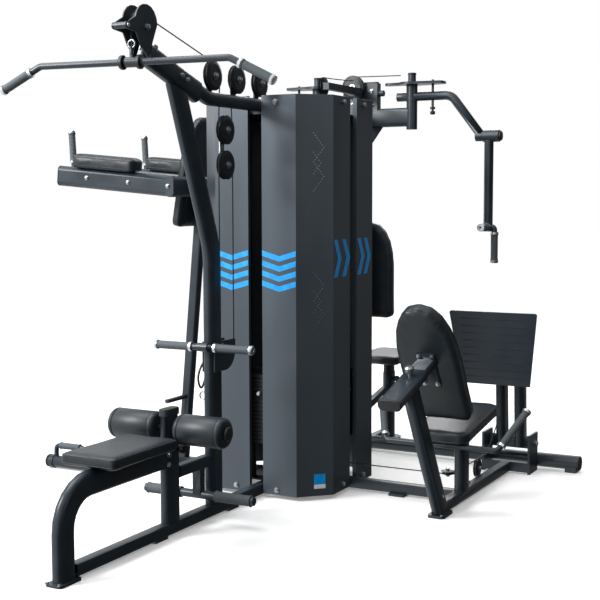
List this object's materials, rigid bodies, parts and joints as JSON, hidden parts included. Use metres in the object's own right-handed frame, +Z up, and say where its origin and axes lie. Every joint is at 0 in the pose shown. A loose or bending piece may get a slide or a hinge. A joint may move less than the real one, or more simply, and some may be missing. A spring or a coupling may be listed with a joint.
{
  "type": "multi_station_home_gym",
  "caption": "Multi station home gym: octagonal weight tower with lat pulldown and row, knee raise and dip arms, leg press and pec fly stations",
  "frame": {"origin": "on the floor under the middle of the weight tower", "axes": "+X towards the leg press, -Y towards the lat pulldown seat, +Z up"},
  "size_m": [2.5797, 3.281, 2.2136],
  "materials": {
    "powder_coat": "satin powder coat",
    "shroud_paint": "metallic paint",
    "vinyl": "grained vinyl over foam",
    "pulley_plastic": "moulded nylon",
    "cable_jacket": "extruded jacket",
    "cast_iron": "painted cast plates",
    "zinc_steel": "zinc plated"
  },
  "bodies": {
    "frame": {"arm_pad_front": "vinyl", "arm_pad_rear": "vinyl", "base_left": "powder_coat", "base_right": "powder_coat", "base_spine": "powder_coat", "boom": "powder_coat", "dip_frame": "powder_coat", "drop_block": "zinc_steel", "fly_back_pad": "vinyl", "fly_frame": "powder_coat", "fly_seat_base": "powder_coat", "front_guides": "cast_iron", "front_leg": "powder_coat", "front_stack_cable": "cable_jacket", "knee_back_pad": "vinyl", "lat_bar_cable": "cable_jacket", "lat_cable": "cable_jacket", "lat_head": "powder_coat", "lat_seat_pad": "vinyl", "leg_cable": "cable_jacket", "leg_frame": "powder_coat", "leg_seat_pad": "vinyl", "mast": "powder_coat", "panel_front_left": "shroud_paint", "panel_front_right": "shroud_paint", "panel_rear_left": "shroud_paint", "panel_rear_right": "shroud_paint", "rear_cross_tube": "powder_coat", "rear_guides": "cast_iron", "rear_stack_cable": "cable_jacket", "right_guides": "cast_iron", "right_stack_cable": "cable_jacket", "row_cable": "cable_jacket", "seat_post": "powder_coat", "top_plate": "powder_coat"},
    "lat_bar": {"lat_bar": "powder_coat"},
    "row_bar": {"row_bar": "powder_coat"},
    "thigh_frame": {"thigh_frame": "powder_coat"},
    "thigh_roller_right": {"thigh_roller_right": "vinyl"},
    "thigh_roller_left": {"thigh_roller_left": "vinyl"},
    "front_stack": {"front_stack": "cast_iron"},
    "right_stack": {"right_stack": "cast_iron"},
    "rear_stack": {"rear_stack": "cast_iron"},
    "head_pulley": {"head_pulley": "pulley_plastic"},
    "boom_pulley_1": {"boom_pulley_1": "pulley_plastic"},
    "boom_pulley_2": {"boom_pulley_2": "pulley_plastic"},
    "boom_pulley_3": {"boom_pulley_3": "pulley_plastic"},
    "drop_pulley_upper": {"drop_pulley_upper": "pulley_plastic"},
    "drop_pulley_lower": {"drop_pulley_lower": "pulley_plastic"},
    "fly_pulley": {"fly_pulley": "pulley_plastic"},
    "leg_lever": {"leg_lever": "powder_coat", "foot_plate": "powder_coat"},
    "leg_back": {"leg_back_slide": "powder_coat", "leg_back_pad": "vinyl"},
    "fly_arm_right": {"fly_arm_right": "powder_coat"},
    "fly_arm_left": {"fly_arm_left": "powder_coat"},
    "fly_forearm_right": {"fly_forearm_right": "powder_coat"},
    "fly_forearm_left": {"fly_forearm_left": "powder_coat"},
    "fly_seat": {"fly_seat_stem": "powder_coat", "fly_seat_pad": "vinyl"}
  },
  "joints": [
    {"name": "lat_bar_pull", "type": "slide", "parent": "frame", "child": "lat_bar", "axis": [0, 0, -1], "range_m": [0, 0.85], "deforming": ["lat_bar_cable"]},
    {"name": "front_stack_lift", "type": "slide", "parent": "frame", "child": "front_stack", "axis": [0, 0, 1], "range_m": [0, 0.85], "deforming": ["front_stack_cable"]},
    {"name": "row_bar_pull", "type": "slide", "parent": "frame", "child": "row_bar", "axis": [0, -1, 0], "range_m": [0, 0.42]},
    {"name": "thigh_frame_height", "type": "slide", "parent": "frame", "child": "thigh_frame", "axis": [0, 0, 1], "range_m": [0, 0.1]},
    {"name": "thigh_roller_right_spin", "type": "hinge", "parent": "thigh_frame", "child": "thigh_roller_right", "pos_m": [0.168, -1.085, 0.467], "axis": [1, 0, 0], "continuous": true},
    {"name": "thigh_roller_left_spin", "type": "hinge", "parent": "thigh_frame", "child": "thigh_roller_left", "pos_m": [-0.168, -1.085, 0.467], "axis": [1, 0, 0], "continuous": true},
    {"name": "head_pulley_spin", "type": "hinge", "parent": "frame", "child": "head_pulley", "pos_m": [0, -1.256, 2.124], "axis": [1, 0, 0], "continuous": true},
    {"name": "boom_pulley_1_spin", "type": "hinge", "parent": "frame", "child": "boom_pulley_1", "pos_m": [0, -0.714, 1.98], "axis": [1, 0, 0], "continuous": true},
    {"name": "boom_pulley_2_spin", "type": "hinge", "parent": "frame", "child": "boom_pulley_2", "pos_m": [0, -0.508, 1.98], "axis": [1, 0, 0], "continuous": true},
    {"name": "boom_pulley_3_spin", "type": "hinge", "parent": "frame", "child": "boom_pulley_3", "pos_m": [0, -0.3, 1.98], "axis": [1, 0, 0], "continuous": true},
    {"name": "drop_pulley_upper_spin", "type": "hinge", "parent": "frame", "child": "drop_pulley_upper", "pos_m": [0, -0.611, 1.747], "axis": [1, 0, 0], "continuous": true},
    {"name": "drop_pulley_lower_spin", "type": "hinge", "parent": "frame", "child": "drop_pulley_lower", "pos_m": [0, -0.611, 1.59], "axis": [1, 0, 0], "continuous": true},
    {"name": "fly_pulley_spin", "type": "hinge", "parent": "frame", "child": "fly_pulley", "pos_m": [-0.046, 0.827, 2.052], "axis": [0, 1, 0], "continuous": true},
    {"name": "leg_lever_swing", "type": "hinge", "parent": "frame", "child": "leg_lever", "pos_m": [0.91, 0.782, 0.15], "axis": [-1, 0, 0], "range_deg": [0, 28]},
    {"name": "right_stack_lift", "type": "slide", "parent": "frame", "child": "right_stack", "axis": [0, 0, 1], "range_m": [0, 0.2], "deforming": ["right_stack_cable"]},
    {"name": "leg_back_slide", "type": "slide", "parent": "frame", "child": "leg_back", "axis": [0, 0.9545, 0.2982], "range_m": [0, 0.12]},
    {"name": "fly_arm_right_swing", "type": "hinge", "parent": "frame", "child": "fly_arm_right", "pos_m": [0.29, 0.87, 1.99], "axis": [0, 0, 1], "range_deg": [0, 80]},
    {"name": "fly_arm_left_swing", "type": "hinge", "parent": "frame", "child": "fly_arm_left", "pos_m": [-0.29, 0.87, 1.99], "axis": [0, 0, 1], "range_deg": [-80, 0]},
    {"name": "rear_stack_lift", "type": "slide", "parent": "frame", "child": "rear_stack", "axis": [0, 0, 1], "range_m": [0, 0.25], "deforming": ["rear_stack_cable"]},
    {"name": "fly_forearm_right_swing", "type": "hinge", "parent": "fly_arm_right", "child": "fly_forearm_right", "pos_m": [0.735, 0.87, 1.765], "axis": [1, 0, 0], "range_deg": [-35, 20]},
    {"name": "fly_forearm_left_swing", "type": "hinge", "parent": "fly_arm_left", "child": "fly_forearm_left", "pos_m": [-0.735, 0.87, 1.765], "axis": [1, 0, 0], "range_deg": [-35, 20]},
    {"name": "fly_seat_height", "type": "slide", "parent": "frame", "child": "fly_seat", "axis": [0, 0, 1], "range_m": [0, 0.1]}
  ],
  "couplings": [
    {"joint": "front_stack_lift", "follows": "lat_bar_pull", "ratio": 1},
    {"joint": "head_pulley_spin", "follows": "lat_bar_pull", "rad_per_m": 17.065},
    {"joint": "boom_pulley_1_spin", "follows": "lat_bar_pull", "rad_per_m": 17.065},
    {"joint": "boom_pulley_2_spin", "follows": "lat_bar_pull", "rad_per_m": 17.065},
    {"joint": "boom_pulley_3_spin", "follows": "lat_bar_pull", "rad_per_m": 17.065},
    {"joint": "drop_pulley_upper_spin", "follows": "lat_bar_pull", "rad_per_m": -17.065},
    {"joint": "right_stack_lift", "follows": "leg_lever_swing", "m_per_rad": 0.23},
    {"joint": "fly_arm_left_swing", "follows": "fly_arm_right_swing", "ratio": -1},
    {"joint": "rear_stack_lift", "follows": "fly_arm_right_swing", "m_per_rad": 0.15},
    {"joint": "fly_pulley_spin", "follows": "fly_arm_right_swing", "ratio": 2.5}
  ]
}
